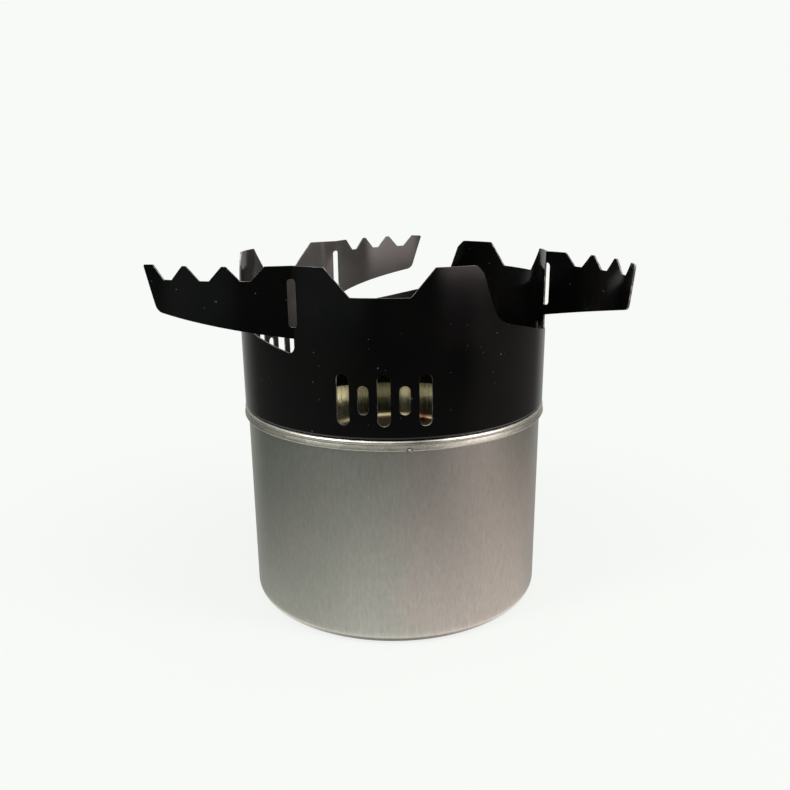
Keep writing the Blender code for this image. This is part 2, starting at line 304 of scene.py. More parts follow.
def tin_profile():
    """The tin from its floor up the inside, over the rim and down, and the count of its inner rows."""
    inner_r = TIN_R - TIN_WALL
    corner = (TIN_R - TIN_CORNER_R, TIN_CORNER_R)
    roll_centre = (inner_r + RIM_ROLL_R, RIM_TOP - RIM_ROLL_R)
    foot_centre = (RIM_BAND_FOOT[0] - RIM_FOOT_R, RIM_BAND_FOOT[1])
    profile = [(0.0, TIN_WALL), (TIN_FLOOR_RING_R, TIN_WALL)]
    profile += arc(corner, TIN_CORNER_R - TIN_WALL, -90.0, 0.0, 10)
    profile += [(inner_r, 20.0), (inner_r, 40.0), (inner_r, 60.0)]
    inner_rows = len(profile)
    profile += arc(roll_centre, RIM_ROLL_R, 180.0, -16.0, 22)
    seam_r = RIM_BAND_TOP[0] - RIM_SEAM_DEPTH
    profile += [(seam_r, RIM_BAND_TOP[1] + rise) for rise in RIM_SEAM_RISES]
    profile.append(RIM_BAND_TOP)
    for i in range(1, RIM_BAND_ROWS):
        share = i / RIM_BAND_ROWS
        swell = RIM_BAND_SWELL * math.sin(math.pi * share)
        r, z = (top + (foot - top) * share for top, foot in zip(RIM_BAND_TOP, RIM_BAND_FOOT))
        profile.append((r + swell, z))
    profile += arc(foot_centre, RIM_FOOT_R, 0.0, -100.0, 8)
    body_top = RIM_TUCK_Z - 0.4
    profile += [(TIN_R + 0.10, RIM_TUCK_Z + 0.04), (TIN_R, RIM_TUCK_Z - 0.08), (TIN_R, body_top)]
    for i in range(1, TIN_BODY_ROWS):
        profile.append((TIN_R, body_top + (TIN_CORNER_R - body_top) * i / TIN_BODY_ROWS))
    profile += arc(corner, TIN_CORNER_R, 0.0, -90.0, 14)
    profile += [(TIN_FLOOR_RING_R, 0.0), (0.0, 0.0)]
    return profile, inner_rows


def tin_shape(r, z, angle):
    """Hand-made unevenness of the rolled rim, and its nick."""
    if z < RIM_RIPPLE_FROM_Z:
        return r, z
    swing, lumps_round, lumps_up = RIM_RIPPLE
    outward = Vector((math.cos(angle), math.sin(angle), 0.0))
    ripple = noise.noise(outward * lumps_round + Vector((0.0, 0.0, z * lumps_up)))
    if r > TIN_R + RIM_CLEAR:
        r += swing * ripple
    width, height, depth = NICK_SIZE
    along = abs(math.remainder(angle - math.radians(NICK_DEG), math.tau)) * TIN_R
    on_band = RIM_TUCK_Z - 0.1 < z < RIM_BAND_TOP[1] and r > TIN_R + 2.0 * RIM_CLEAR
    if on_band and along < 2.0 * width:
        sink = (1.0 - along / (2.0 * width)) * max(0.0, 1.0 - (z - RIM_TUCK_Z) / (2.0 * height))
        r = max(TIN_R + RIM_CLEAR, r - 2.0 * depth * sink)
    return r, z


def build_tin(materials):
    profile, inner_rows = tin_profile()
    return lathe("tin", profile, TIN_STEPS, materials, slot_of=lambda row: int(row < inner_rows),
                 shape_of=tin_shape)


def wall_outline():
    """One third of the crown's wall, unrolled, from the end of one tab A to the next."""
    slot_width, slot_bottom, slot_top = BEND_SLOT
    slot_side = PANEL + slot_width / 2.0
    return round_corners([
        (A_END, LIP_START, 0.0),
        (PANEL + A_END, LIP_START, 0.0),
        (PANEL + A_END, TOP, 0.0),
        (PANEL, TOP, 0.0),
        (PANEL, slot_top, 0.0),
        (slot_side, slot_top, 1.0),
        (slot_side, slot_bottom, 1.0),
        (PANEL, slot_bottom, 0.0),
        (PANEL, LOW_ROOT_Z - 0.4, ROOT_R),
        (*LOW_MIDDLE, 60.0),
        (*DROP_FOOT, DROP_FOOT_R),
        (B_END + 1.6, TOP - 2.2, 3.0),
        (B_END - 0.6, TOP, 1.5),
        (B_START, TOP, 0.6),
        (DIP_END, DIP, 0.8),
        (DIP_START, DIP, 0.8),
        (A_END, TOP, 0.0),
    ])


def vent_outline(centre, vent):
    width, bottom, top = vent
    left = centre - width / 2.0
    right = centre + width / 2.0
    end_r = width / 2.0 - 0.02
    return round_corners([(left, bottom, end_r), (right, bottom, end_r),
                          (right, top, end_r), (left, top, end_r)])


def step_path():
    """Middle of the sheet from the wall's foot, in under the lip and down the neck."""
    shelf_z = SHEET / 2.0
    path = arc((CROWN_R - LIP_R, shelf_z + LIP_R), LIP_R, 0.0, -90.0, 8)
    path += arc((NECK_R + LIP_R, shelf_z - LIP_R), LIP_R, 90.0, 180.0, 8)
    path += [(NECK_R, -NECK_DEPTH * 0.5), (NECK_R, -NECK_DEPTH)]
    return path[1:]


def build_crown_wall(materials):
    """Three panels, each filled flat and then rolled, joined and drawn in at the foot."""
    vents = []
    for i in range(VENT_COUNT):
        kind = LONG_VENT if i % 2 == 0 else SHORT_VENT
        vents.append(vent_outline(VENT_CENTRE + (i - VENT_COUNT // 2) * VENT_PITCH, kind))
    cuts = [A_END + PANEL * i / PANEL_STEPS for i in range(1, PANEL_STEPS)]
    sheet = flat_sheet([wall_outline()] + vents, cuts)
    flat = bpy.data.meshes.new("panel")
    sheet.to_mesh(flat)
    sheet.free()

    wall = bmesh.new()
    for third in range(3):
        panel = bmesh.new()
        panel.from_mesh(flat)
        start = math.radians(FIRST_BEND_DEG + 120.0 * third) - PANEL / CROWN_R
        for vert in panel.verts:
            angle = start + vert.co.x / CROWN_R
            vert.co = (CROWN_R * math.cos(angle), CROWN_R * math.sin(angle), vert.co.z)
        rolled = bpy.data.meshes.new("rolled")
        panel.to_mesh(rolled)
        panel.free()
        wall.from_mesh(rolled)
        bpy.data.meshes.remove(rolled)
    bpy.data.meshes.remove(flat)
    bmesh.ops.remove_doubles(wall, verts=wall.verts[:], dist=1e-3)

    def at_foot(edge):
        return edge.is_boundary and all(abs(vert.co.z - LIP_START) < 1e-4 for vert in edge.verts)

    rim = [edge for edge in wall.edges if at_foot(edge)]
    for radius, height in step_path():
        grown = bmesh.ops.extrude_edge_only(wall, edges=rim)["geom"]
        rim = [g for g in grown if isinstance(g, bmesh.types.BMEdge)]
        for vert in {v for e in rim for v in e.verts}:
            scale = radius / math.hypot(vert.co.x, vert.co.y)
            vert.co = (vert.co.x * scale, vert.co.y * scale, height)
    bmesh.ops.recalc_face_normals(wall, faces=wall.faces[:])
    wall.transform(Matrix.Scale(MM, 4) @ Matrix.Translation((0.0, 0.0, FOOT_Z)))
    mesh = bpy.data.meshes.new("crown")
    wall.to_mesh(mesh)
    wall.free()
    item = add_object("crown", mesh, materials)
    thicken(item, (0.0, 0.0))
    return item


def arm_outline():
    """One arm, unrolled: x is the length from the bend line, z the height above the foot."""
    slot_width, slot_bottom, slot_top = BEND_SLOT
    slot_side = slot_width / 2.0
    corners = [
        (0.0, ARM_ROOT_Z, 0.0),
        (0.0, slot_bottom, 0.0),
        (slot_side, slot_bottom, 1.0),
        (slot_side, slot_top, 1.0),
        (0.0, slot_top, 0.0),
        (0.0, TOP, 0.0),
    ]
    slope = (TOOTH_PITCH - VALLEY_FLAT - TOOTH_FLAT) / 2.0
    for i in range(TOOTH_COUNT):
        valley = FIRST_VALLEY + i * TOOTH_PITCH
        left = valley - VALLEY_FLAT / 2.0
        right = valley + VALLEY_FLAT / 2.0
        corners += [(left - slope, TOP, 0.3), (left, VALLEY, 0.4),
                    (right, VALLEY, 0.4), (right + slope, TOP, 0.3)]
    corners += [(*ARM_TIP, 0.5), (*ARM_TIP_FOOT, 3.2)]
    return round_corners(corners[::-1])


def add_knuckle(shape, bottom, top):
    """Round of the bend: a rod as thick as the sheet, on the bend line."""
    middle = Matrix.Translation((0.0, 0.0, (bottom + top) / 2.0))
    made = bmesh.ops.create_cone(shape, cap_ends=True, segments=32, radius1=SHEET / 2.0,
                                 radius2=SHEET / 2.0, depth=top - bottom, matrix=middle)
    return made["verts"]


def arm_hinge(bend_deg):
    bend = math.radians(bend_deg)
    return Vector((CROWN_R * math.cos(bend), CROWN_R * math.sin(bend), FOOT_Z))


def arm_axis(side, bend_deg):
    """Axis of the cylinder that an opened arm is part of, (x, y)."""
    hinge = arm_hinge(bend_deg)
    turn = Matrix.Rotation(math.radians(ARM_OPEN_DEG[side]), 3, "Z")
    return (hinge + turn @ Vector((-hinge.x, -hinge.y, 0.0))).xy


def build_arm(side, bend_deg, materials):
    cuts = [PANEL * i / PANEL_STEPS for i in range(1, math.ceil(ARM_TIP[0] / PANEL * PANEL_STEPS))]
    arm = flat_sheet([arm_outline()], cuts)
    bend = math.radians(bend_deg)
    hinge = arm_hinge(bend_deg)
    for vert in arm.verts:
        angle = bend - vert.co.x / CROWN_R
        vert.co = (CROWN_R * math.cos(angle) - hinge.x, CROWN_R * math.sin(angle) - hinge.y, vert.co.z)
    bmesh.ops.recalc_face_normals(arm, faces=arm.faces[:])
    turn = Matrix.Rotation(math.radians(ARM_OPEN_DEG[side]), 4, "Z")
    place = Matrix.Scale(MM, 4) @ Matrix.Translation(hinge) @ turn
    arm.transform(place)
    name = "arm_" + side
    mesh = bpy.data.meshes.new(name)
    arm.to_mesh(mesh)
    arm.free()
    item = add_object(name, mesh, materials)
    thicken(item, arm_axis(side, bend_deg) * MM)

    knuckles = bmesh.new()
    add_knuckle(knuckles, ARM_ROOT_Z, BEND_SLOT[1])
    add_knuckle(knuckles, BEND_SLOT[2], TOP)
    knuckles.transform(place)
    rods = bpy.data.meshes.new("rods")
    knuckles.to_mesh(rods)
    knuckles.free()
    smooth(rods)
    rod = add_object("rods", rods, materials)
    with bpy.context.temp_override(active_object=item, selected_editable_objects=[item, rod]):
        bpy.ops.object.join()
    return item


def cup_profile():
    """The burner's cup from its floor up the inside, over the neck and down by its threads."""
    inner_r = BURNER_R - BRASS
    corner = (BURNER_R - CUP_CORNER_R, BURNER_Z + CUP_CORNER_R)
    neck_inner = THREAD_R - BRASS
    neck_z = SHOULDER_Z + SHOULDER_RISE
    profile = [(0.0, BURNER_Z + BRASS), (BURNER_FLOOR_RING_R, BURNER_Z + BRASS)]
    profile += arc(corner, CUP_CORNER_R - BRASS, -90.0, 0.0, 8)
    profile += [(inner_r, 18.0), (inner_r, SHOULDER_Z - 0.4), (neck_inner, neck_z - 0.4)]
    profile += [(neck_inner, CUP_TOP - CUP_CHAMFER), (neck_inner + CUP_CHAMFER, CUP_TOP)]
    profile += [(THREAD_R - CUP_CHAMFER, CUP_TOP), (THREAD_R, CUP_TOP - CUP_CHAMFER)]
    flank_r = THREAD_R + THREAD_DEPTH * THREAD_FLANK[0]
    for turn in reversed(range(THREAD_TURNS)):
        ridge = THREAD_START + turn * THREAD_PITCH
        profile += [(THREAD_R, ridge + THREAD_HALF), (flank_r, ridge + THREAD_FLANK[1])]
        profile += [(THREAD_R + THREAD_DEPTH, ridge), (flank_r, ridge - THREAD_FLANK[1])]
        profile += [(THREAD_R, ridge - THREAD_HALF)]
    profile.append((THREAD_R, neck_z))
    profile += arc((BURNER_R - SHOULDER_R, SHOULDER_Z - 0.2), SHOULDER_R, 50.0, 0.0, 5)
    profile += [(BURNER_R, 26.0), (BURNER_R, 15.0)]
    profile += arc(corner, CUP_CORNER_R, 0.0, -90.0, 10)
    profile += [(BURNER_FLOOR_RING_R, BURNER_Z), (0.0, BURNER_Z)]
    return profile


def flange_path():
    """Middle of the inner wall's sheet, from its foot up to the bend and out along the flange."""
    fall_start, fall_end = FLANGE_FALL
    path = [(WELL_R, WELL_FOOT), (WELL_R, 20.0), (WELL_R, 36.0)]
    path += arc((WELL_R + FLANGE_BEND_R, FLANGE_TOP - FLANGE_BEND_R), FLANGE_BEND_R, 180.0, 90.0, 8)
    path += [(fall_start, FLANGE_TOP), (fall_start + 0.5, FLANGE_TOP - 0.1)]
    path += [(fall_end - 0.4, FLANGE_EDGE[1] + 0.1), (fall_end, FLANGE_EDGE[1]), FLANGE_EDGE]
    return path


def sheet_profile(path, thickness):
    """Closed profile of a sheet that follows a path."""
    points = [Vector(p) for p in path]
    left, right = [], []
    for i, point in enumerate(points):
        before = points[max(i - 1, 0)]
        after = points[min(i + 1, len(points) - 1)]
        side = (after - before).orthogonal().normalized()
        left.append(tuple(point + side * thickness / 2.0))
        right.append(tuple(point - side * thickness / 2.0))
    return left + right[::-1]


def burner_cutter():
    """What the jets and the notches at the foot take away."""
    shape = bmesh.new()
    lean = Matrix.Rotation(math.radians(JET_LEAN_DEG), 4, "Y")
    for i in range(JET_COUNT):
        spin = Matrix.Rotation(math.tau * i / JET_COUNT, 4, "Z")
        place = spin @ Matrix.Translation((JET_AT[0], 0.0, JET_AT[1])) @ lean
        bmesh.ops.create_cone(shape, cap_ends=True, segments=24, radius1=JET_R, radius2=JET_R,
                              depth=CUTTER_DEPTH, matrix=place)
    size = Matrix.Diagonal((CUTTER_DEPTH, NOTCH_WIDTH, 2.0 * NOTCH_HEIGHT, 1.0))
    for i in range(NOTCH_COUNT):
        spin = Matrix.Rotation(math.tau * (i + 0.5) / NOTCH_COUNT, 4, "Z")
        place = spin @ Matrix.Translation((WELL_R, 0.0, WELL_FOOT)) @ size
        bmesh.ops.create_cube(shape, size=1.0, matrix=place)
    bmesh.ops.recalc_face_normals(shape, faces=shape.faces[:])
    shape.transform(Matrix.Scale(MM, 4))
    mesh = bpy.data.meshes.new("cutter")
    shape.to_mesh(mesh)
    shape.free()
    return add_object("cutter", mesh, [])


def build_inner_wall(materials):
    profile = sheet_profile(flange_path(), BRASS)
    well = lathe("burner_well", profile, BURNER_STEPS, materials, closed=True)
    cutter = burner_cutter()
    holes = well.modifiers.new("Jets and notches", "BOOLEAN")
    holes.operation = "DIFFERENCE"
    holes.solver = "EXACT"
    holes.object = cutter
    mesh = bake_modifiers(well)
    bpy.data.objects.remove(cutter, do_unlink=True)
    smooth(mesh)
    return well


def build_wick(materials):
    inner, outer, bottom, top = WICK
    middle, half = (inner + outer) / 2.0, (outer - inner) / 2.0
    ring = [(inner, bottom), (inner, top - WICK_ROUND), (inner, top - half)]
    ring += arc((middle, top - half * 0.6), half, 180.0, 0.0, 14)
    ring += [(outer, top - half), (outer, top - WICK_ROUND), (outer, bottom)]

    def tufts(r, z, angle):
        if z < top - WICK_TUFTED:
            return r, z
        spot = Vector((r * math.cos(angle), r * math.sin(angle), z))
        return r + 0.25 * noise.noise(spot * 1.3), min(top, z + 0.5 * noise.noise(spot * 0.9) - 0.3)

    return lathe("burner_wick_ring", ring, BURNER_STEPS, materials, closed=True, shape_of=tufts)


# ---------------------------------------------------------------- materials

# Places of marks: azimuth of the middle and reach to either side, in degrees
# Painted light: warm and cool tints on the tin's side
PAINTED_WARM_LIGHT = (-35.0, 60.0)
PAINTED_COOL_LIGHT = (-128.0, 52.0)
PAINTED_CREST_SHADE = (-81.0, 11.46)
NICK_REACH_DEG = 1.72
PAINTED_GLINT_STRIPS = ((85.5, 3.5), (117.0, 7.0))
PAINTED_GLINT_HEIGHTS = (12.0, 30.0)      # comes in between these
PAINTED_SHEEN_SIDE = (128.0, 52.0)
PAINTED_SHEEN_HEIGHTS = (66.0, 90.0)
RED_BROWN_SIDE = (66.0, 13.0)


class Nodes:
    """Short calls for the nodes of one shader tree."""

    def __init__(self, tree):
        self.tree = tree

    def new(self, kind, **settings):
        node = self.tree.nodes.new(kind)
        for key, value in settings.items():
            setattr(node, key, value)
        return node

    def link(self, source, socket):
        """Feed a socket from another socket, or set it to a value."""
        if isinstance(source, bpy.types.NodeSocket):
            self.tree.links.new(source, socket)
        else:
            socket.default_value = source

    def calculate(self, kind, operation, a, b):
        node = self.new(kind, operation=operation)
        self.link(a, node.inputs[0])
        self.link(b, node.inputs[1])
        return node

    def math(self, operation, a, b=0.0):
        return self.calculate("ShaderNodeMath", operation, a, b).outputs["Value"]

    def vector_math(self, operation, a, b):
        return self.calculate("ShaderNodeVectorMath", operation, a, b).outputs["Vector"]

    def remap(self, value, low, high, to_low=0.0, to_high=1.0, curve="LINEAR"):
        node = self.new("ShaderNodeMapRange", interpolation_type=curve)
        self.link(value, node.inputs["Value"])
        for key, number in zip(("From Min", "From Max", "To Min", "To Max"), (low, high, to_low, to_high)):
            node.inputs[key].default_value = number
        return node.outputs["Result"]

    def mix(self, share, a, b):
        """Colour a where the share is 0, and b where it is 1."""
        node = self.new("ShaderNodeMix", data_type="RGBA")
        self.link(share, node.inputs["Factor"])
        for name, colour in (("A", a), ("B", b)):
            socket = [s for s in node.inputs if s.name == name and s.type == "RGBA"][0]
            self.link((*colour, 1.0) if isinstance(colour, tuple) else colour, socket)
        return [s for s in node.outputs if s.type == "RGBA"][0]

    def between(self, value, low, high, a, b):
        """Colour a up to the low value and b from the high one, blended in between."""
        return self.mix(self.remap(value, low, high), a, b)


class Paint(Nodes):
    """A material on one Principled shader. Its patterns are in millimetres."""

    def __init__(self, name, **constants):
        self.material = bpy.data.materials.new(name)
        self.material.use_nodes = True
        super().__init__(self.material.node_tree)
        self.shader = self.tree.nodes["Principled BSDF"]
        for key, value in constants.items():
            self.shader.inputs[key.replace("_", " ")].default_value = value
        coordinates = self.new("ShaderNodeTexCoord")
        self.place = self.vector_math("MULTIPLY", coordinates.outputs["Object"], (1.0 / MM,) * 3)

    def to_shader(self, socket_name, source):
        self.link(source, self.shader.inputs[socket_name])

    def noise(self, stretch, detail=3.0, roughness=0.55, offset=(0.0, 0.0, 0.0)):
        """Noise whose grain is 1/stretch millimetres along each axis."""
        node = self.new("ShaderNodeTexNoise")
        moved = self.vector_math("ADD", self.place, offset)
        self.link(self.vector_math("MULTIPLY", moved, stretch), node.inputs["Vector"])
        node.inputs["Scale"].default_value = 1.0
        node.inputs["Detail"].default_value = detail
        node.inputs["Roughness"].default_value = roughness
        return node.outputs["Fac"]

    def axes(self):
        split = self.new("ShaderNodeSeparateXYZ")
        self.link(self.place, split.inputs["Vector"])
        return [split.outputs[name] for name in "XYZ"]

    def height(self):
        return self.axes()[2]

    def azimuth(self):
        x, y, _ = self.axes()
        return self.math("ARCTAN2", y, x)

    def near(self, value, target, reach):
        """1 where the value is on its target, falling to 0 at a given distance from it."""
        distance = self.math("ABSOLUTE", self.math("SUBTRACT", value, target))
        return self.remap(distance, 0.0, reach, 1.0, 0.0)

    def facing(self, centre_deg, reach_deg):
        """1 on the side at an azimuth, falling to 0 at a reach to either side."""
        return self.near(self.azimuth(), math.radians(centre_deg), math.radians(reach_deg))

    def specks(self, cell, size, keep, wall_r):
        """Dots of the given size in millimetres, in a share of the cells of an unrolled wall."""
        unrolled = self.new("ShaderNodeCombineXYZ")
        self.link(self.math("MULTIPLY", self.azimuth(), wall_r), unrolled.inputs["X"])
        self.link(self.height(), unrolled.inputs["Y"])
        cells = self.new("ShaderNodeTexVoronoi", voronoi_dimensions="2D")
        self.link(unrolled.outputs["Vector"], cells.inputs["Vector"])
        cells.inputs["Scale"].default_value = 1.0 / cell
        dots = self.remap(cells.outputs["Distance"], size / cell, 0.4 * size / cell)
        split = self.new("ShaderNodeSeparateColor")
        self.link(cells.outputs["Color"], split.inputs["Color"])
        chosen = self.math("LESS_THAN", split.outputs["Red"], keep)
        return self.math("MULTIPLY", dots, chosen)

    def bump(self, height, depth_mm):
        node = self.new("ShaderNodeBump")
        node.inputs["Strength"].default_value = 1.0
        node.inputs["Distance"].default_value = depth_mm * MM
        self.link(height, node.inputs["Height"])
        self.to_shader("Normal", node.outputs["Normal"])


def brushed_side(paint, grain):
    """Colour of the tin's side: upright grain and dashes, flecks, a warm and a cool tint of painted light
    by side, and painted shade at the foot.
    """
    dashes = paint.noise((1.3, 1.3, 0.42), detail=3.0, roughness=0.6, offset=(17.0, 3.0, 9.0))
    patches = paint.noise((0.030, 0.030, 0.022), detail=2.0)
    cloud = paint.noise((0.22, 0.22, 0.16), detail=3.0, offset=(40.0, 7.0, 3.0))
    # Painted light: the side is tinted warm towards one azimuth and cool towards another
    light_tint = paint.math("SUBTRACT", paint.facing(*PAINTED_WARM_LIGHT), paint.facing(*PAINTED_COOL_LIGHT))
    patches = paint.math("ADD", patches, paint.math("MULTIPLY", light_tint, 0.17))
    colour = paint.between(patches, 0.38, 0.62, (0.515, 0.540, 0.492), (0.590, 0.545, 0.510))
    colour = paint.mix(paint.remap(grain, 0.35, 0.65, 0.0, 0.35), colour, (0.455, 0.450, 0.430))
    colour = paint.mix(paint.remap(dashes, 0.50, 0.72, 0.0, 0.40), colour, (0.680, 0.670, 0.640))
    colour = paint.mix(paint.remap(dashes, 0.30, 0.48, 0.30, 0.0), colour, (0.410, 0.405, 0.385))
    colour = paint.mix(paint.remap(cloud, 0.55, 0.75, 0.0, 0.22), colour, (0.640, 0.625, 0.595))
    colour = paint.mix(paint.specks(9.0, 0.16, 0.10, TIN_R), colour, (0.85, 0.84, 0.80))
    # Painted shade: darker towards the foot of the tin
    return paint.mix(paint.remap(paint.height(), 1.6, 0.4, 0.0, 0.8), colour, (0.20, 0.195, 0.185))


def rim_metal(paint, mottle):
    """Colour of the rim: mottled and flecked, with painted shade that dims a stretch of its crest and
    darkens its nick, bright at the nick's middle.
    """
    height = paint.height()
    fleck = paint.noise((1.9, 1.9, 1.9), detail=3.0, roughness=0.6, offset=(2.0, 31.0, 5.0))
    colour = paint.between(mottle, 0.35, 0.65, (0.540, 0.530, 0.470), (0.650, 0.635, 0.575))
    colour = paint.mix(paint.remap(fleck, 0.50, 0.66, 0.0, 0.45), colour, (0.82, 0.80, 0.73))
    colour = paint.mix(paint.remap(fleck, 0.34, 0.48, 0.35, 0.0), colour, (0.34, 0.33, 0.28))
    # Painted shade: a stretch of the crest darkened so that its highlight is dim
    crest = paint.remap(height, RIM_BAND_TOP[1], RIM_BAND_TOP[1] + 0.4, 0.0, 0.8)
    crest_shade = paint.math("MULTIPLY", crest, paint.facing(*PAINTED_CREST_SHADE))
    colour = paint.mix(crest_shade, colour, (0.13, 0.125, 0.11))
    nick = paint.math("MULTIPLY", paint.facing(NICK_DEG, NICK_REACH_DEG),
                      paint.near(height, RIM_TUCK_Z + 0.35, 1.2))
    # Painted shade: near-black round the middle of the nick
    colour = paint.mix(paint.remap(nick, 0.15, 0.45, 0.0, 0.9), colour, (0.05, 0.048, 0.04))
    return paint.mix(paint.remap(nick, 0.55, 0.75), colour, (0.80, 0.79, 0.75))


def tin_outside():
    """Brushed steel, softer and smooth on the rim, with painted shade in the two seams of the rim."""
    paint = Paint("tin_brushed", Metallic=1.0)
    height = paint.height()
    grain = paint.noise((2.4, 2.4, 0.16), detail=4.0, roughness=0.62)
    mottle = paint.noise((0.30, 0.30, 0.8), detail=3.0)
    on_rim = paint.remap(height, RIM_TUCK_Z - 0.25, RIM_TUCK_Z)
    colour = paint.mix(on_rim, brushed_side(paint, grain), rim_metal(paint, mottle))
    # Painted shade: dark lines in the two seams of the rim
    seam_shade = paint.math("MAXIMUM", paint.near(height, RIM_TUCK_Z - 0.05, 0.32),
                       paint.near(height, RIM_BAND_TOP[1] + 0.17, 0.22))
    colour = paint.mix(paint.math("MULTIPLY", seam_shade, 0.75), colour, (0.16, 0.15, 0.13))
    paint.to_shader("Base Color", colour)
    side_roughness = paint.remap(grain, 0.3, 0.7, 0.27, 0.34)
    rim_roughness = paint.remap(mottle, 0.3, 0.7, 0.38, 0.44)
    rise = paint.math("MULTIPLY", on_rim, paint.math("SUBTRACT", rim_roughness, side_roughness))
    paint.to_shader("Roughness", paint.math("ADD", side_roughness, rise))
    paint.bump(paint.math("MULTIPLY", grain, paint.math("SUBTRACT", 1.0, on_rim)), 0.005)
    return paint.material


def tin_inside():
    """Drawn steel, kept dark and greenish as painted shade and a painted reflection of the brass, with
    upright streaks, stains and two strips of painted highlight on the wall.
    """
    paint = Paint("tin_bright", Metallic=1.0)
    streak = paint.noise((1.3, 1.3, 0.04), detail=4.0, roughness=0.6)
    stain = paint.noise((0.12, 0.12, 0.10), detail=3.0, offset=(11.0, 0.0, 5.0))
    # Painted shade and painted reflection: the steel's colour is dark and tinted green like the brass it
    # faces
    colour = paint.between(streak, 0.35, 0.65, (0.19, 0.205, 0.18), (0.32, 0.33, 0.30))
    colour = paint.mix(paint.remap(stain, 0.55, 0.75, 0.0, 0.4), colour, (0.60, 0.55, 0.44))
    # Painted highlight: two bright upright strips on the wall
    on_wall = paint.remap(paint.height(), *PAINTED_GLINT_HEIGHTS)
    for strip in PAINTED_GLINT_STRIPS:
        painted_glint = paint.math("MULTIPLY", paint.facing(*strip), on_wall)
        colour = paint.mix(painted_glint, colour, (0.80, 0.82, 0.78))
    paint.to_shader("Base Color", colour)
    paint.to_shader("Roughness", paint.remap(streak, 0.3, 0.7, 0.20, 0.32))
    paint.bump(streak, 0.02)
    return paint.material


def inner_side(paint, axis):
    """1 on the inner side of a sheet that is rolled round the axis (x, y), 0 on its outer side."""
    x, y, _ = paint.axes()
    away_x = paint.math("POWER", paint.math("SUBTRACT", x, axis[0]), 2.0)
    away_y = paint.math("POWER", paint.math("SUBTRACT", y, axis[1]), 2.0)
    radius = paint.math("SQRT", paint.math("ADD", away_x, away_y))
    return paint.remap(radius, CROWN_R + 0.1, CROWN_R - 0.1)


def black_sheet(name, axis=(0.0, 0.0)):
    """Glossy black with dust, for a sheet rolled round the axis; painted lighter on a part of its inner
    side, a painted reflection.
    """
    paint = Paint(name, Metallic=0.0, IOR=1.45)
    fine = paint.noise((2.4, 2.4, 2.4), detail=3.0, roughness=0.6)
    haze = paint.noise((0.05, 0.05, 0.07), detail=3.0, offset=(3.0, 9.0, 1.0))
    colour = paint.between(haze, 0.35, 0.65, (0.0007, 0.0009, 0.0009), (0.0018, 0.0015, 0.0014))
    # Painted reflection: a lighter grey on the inner side, high on the back
    painted_sheen = paint.math("MULTIPLY", paint.facing(*PAINTED_SHEEN_SIDE),
                        paint.remap(paint.height(), *PAINTED_SHEEN_HEIGHTS))
    painted_sheen = paint.math("MULTIPLY", painted_sheen, paint.remap(haze, 0.3, 0.6, 0.7, 1.0))
    painted_sheen = paint.math("MULTIPLY", painted_sheen, inner_side(paint, axis))
    colour = paint.mix(painted_sheen, colour, (0.098, 0.091, 0.088))
    dust = paint.math("MAXIMUM", paint.specks(4.6, 0.15, 0.25, CROWN_R),
                      paint.specks(9.0, 0.24, 0.22, CROWN_R))
    dust = paint.math("MULTIPLY", dust, paint.remap(fine, 0.35, 0.65, 0.15, 1.0))
    paint.to_shader("Base Color", paint.mix(dust, colour, (0.115, 0.11, 0.105)))
    paint.to_shader("Roughness", paint.remap(haze, 0.3, 0.7, 0.09, 0.13))
    paint.bump(fine, 0.004)
    return paint.material


def cut_edge():
    """Sheared edge of the black sheet, worn to the metal in places."""
    paint = Paint("cut_edge", Metallic=0.35)
    fine = paint.noise((3.0, 3.0, 1.2), detail=3.0)
    wear = paint.noise((0.35, 0.35, 0.35), detail=3.0, offset=(1.0, 2.0, 8.0))
    colour = paint.between(fine, 0.35, 0.65, (0.060, 0.055, 0.051), (0.13, 0.122, 0.112))
    colour = paint.mix(paint.remap(wear, 0.48, 0.62, 0.0, 0.85), colour, (0.34, 0.32, 0.29))
    paint.to_shader("Base Color", colour)
    paint.to_shader("Roughness", paint.remap(fine, 0.3, 0.7, 0.30, 0.45))
    paint.bump(fine, 0.01)
    return paint.material


def aged_brass():
    """Turned brass with stains, with painted shade darkest on top of the flange, and red-brown at one side
    of it.
    """
    paint = Paint("aged_brass", Metallic=1.0)
    height = paint.height()
    turning = paint.noise((0.35, 0.35, 5.0), detail=3.0)
    stain = paint.noise((0.16, 0.16, 0.20), detail=4.0, offset=(5.0, 2.0, 0.0))
    colour = paint.between(turning, 0.35, 0.65, (0.35, 0.305, 0.175), (0.47, 0.415, 0.25))
    colour = paint.mix(paint.remap(stain, 0.50, 0.70, 0.0, 0.75), colour, (0.20, 0.135, 0.07))
    # Painted shade: the top of the flange darkened to dim its bright line
    crown = paint.remap(height, FLANGE_TOP - 1.0, FLANGE_TOP + 0.2, 0.0, 0.84)
    colour = paint.mix(crown, colour, (0.10, 0.078, 0.042))
    # Red-brown on the slope of the flange at one side
    on_flange = paint.remap(height, FLANGE_TOP - 4.0, FLANGE_TOP - 1.5)
    red_brown = paint.math("MULTIPLY", paint.facing(*RED_BROWN_SIDE), on_flange)
    colour = paint.mix(red_brown, colour, (0.045, 0.012, 0.004))
    paint.to_shader("Base Color", colour)
    paint.to_shader("Roughness", paint.remap(stain, 0.3, 0.7, 0.34, 0.50))
    paint.bump(turning, 0.008)
    return paint.material


def wick_fibre():
    paint = Paint("wick_fibre", Sheen_Weight=0.4, Sheen_Roughness=0.6)
    strand = paint.noise((2.2, 2.2, 0.8), detail=5.0, roughness=0.7)
    paint.to_shader("Base Color", paint.between(strand, 0.3, 0.7, (0.46, 0.42, 0.34), (0.80, 0.77, 0.68)))
    paint.to_shader("Roughness", paint.remap(strand, 0.3, 0.7, 0.88, 1.0))
    paint.bump(strand, 0.4)
    return paint.material


